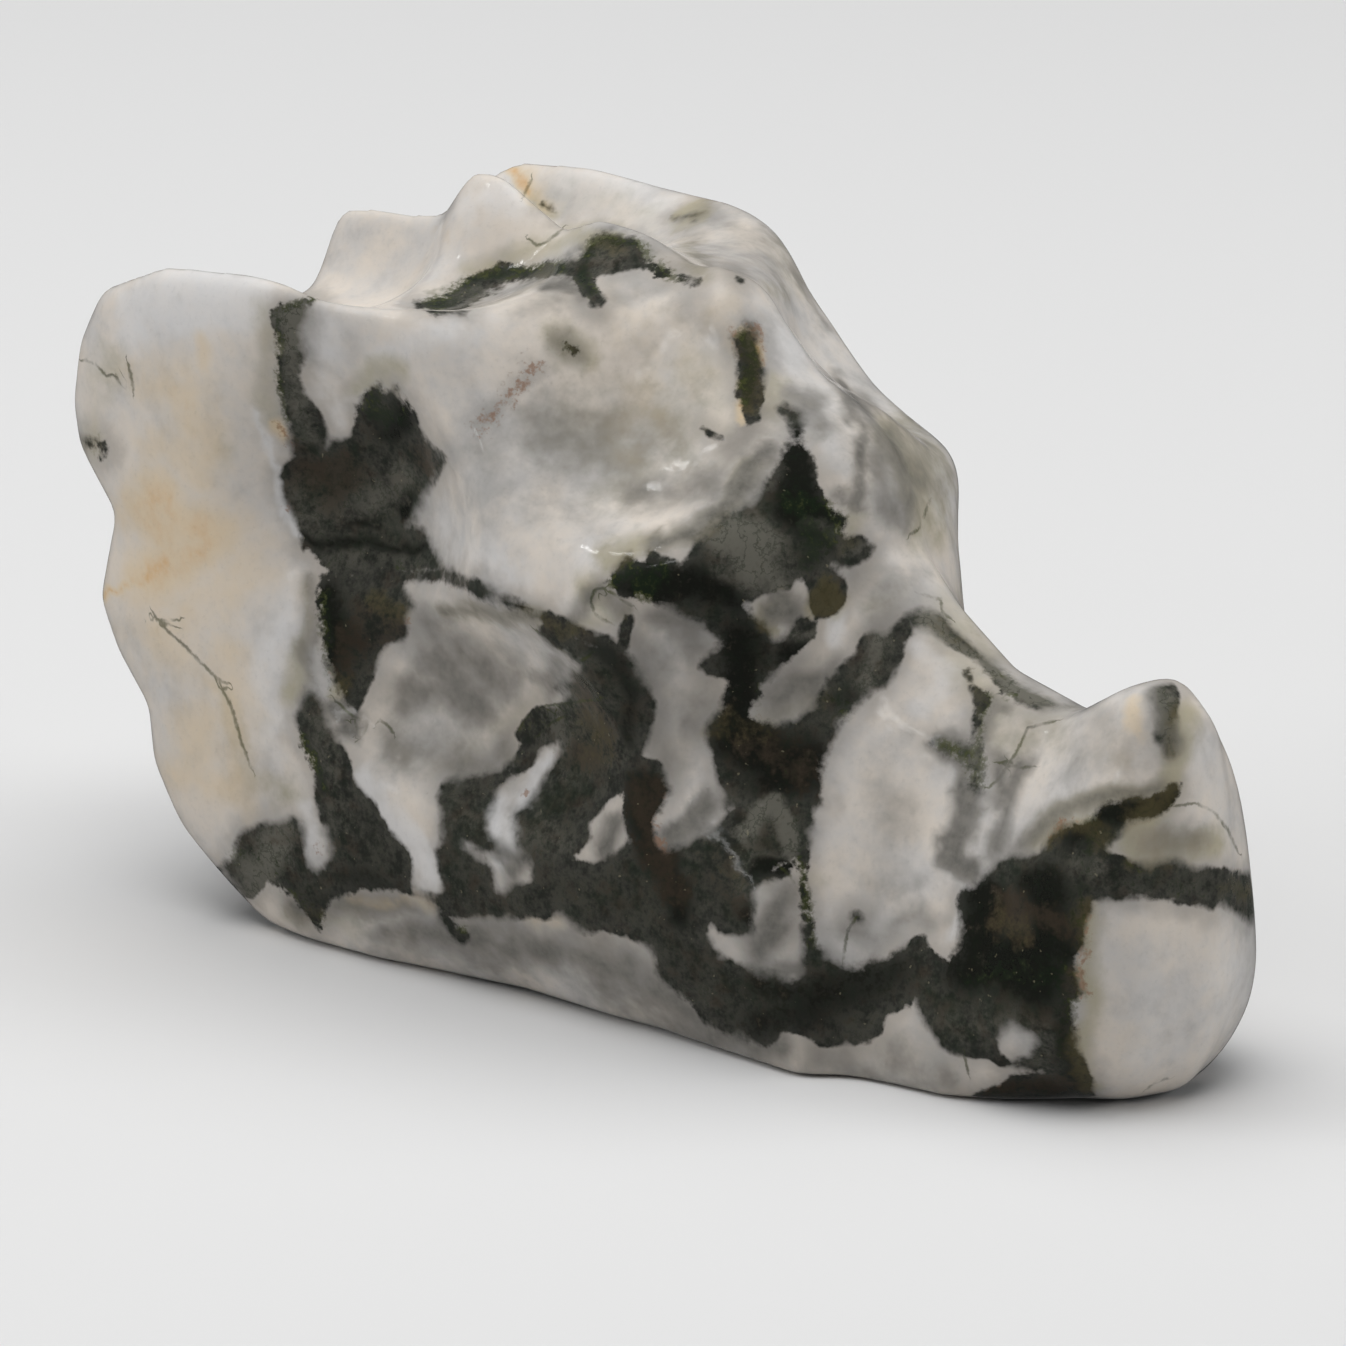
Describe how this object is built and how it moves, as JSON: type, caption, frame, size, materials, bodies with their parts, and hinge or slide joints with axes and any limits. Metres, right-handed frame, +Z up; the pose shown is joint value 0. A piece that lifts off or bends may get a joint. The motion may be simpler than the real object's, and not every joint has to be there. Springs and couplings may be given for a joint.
{
  "type": "moss agate dragon carving",
  "caption": "Small polished moss agate carving of a dragon's head with a scalloped frill, standing on its flat base as an ornament.",
  "frame": {"origin": "on the base plane, under the middle of the carving's box", "axes": "+X toward the snout, +Y toward the dragon's left side, +Z up"},
  "size_m": [0.0754, 0.0302, 0.0427],
  "materials": {
    "moss_agate": "polished, white to grey chalcedony with dark green moss"
  },
  "bodies": {
    "root": {"dragon_head": "moss_agate"}
  },
  "joints": []
}
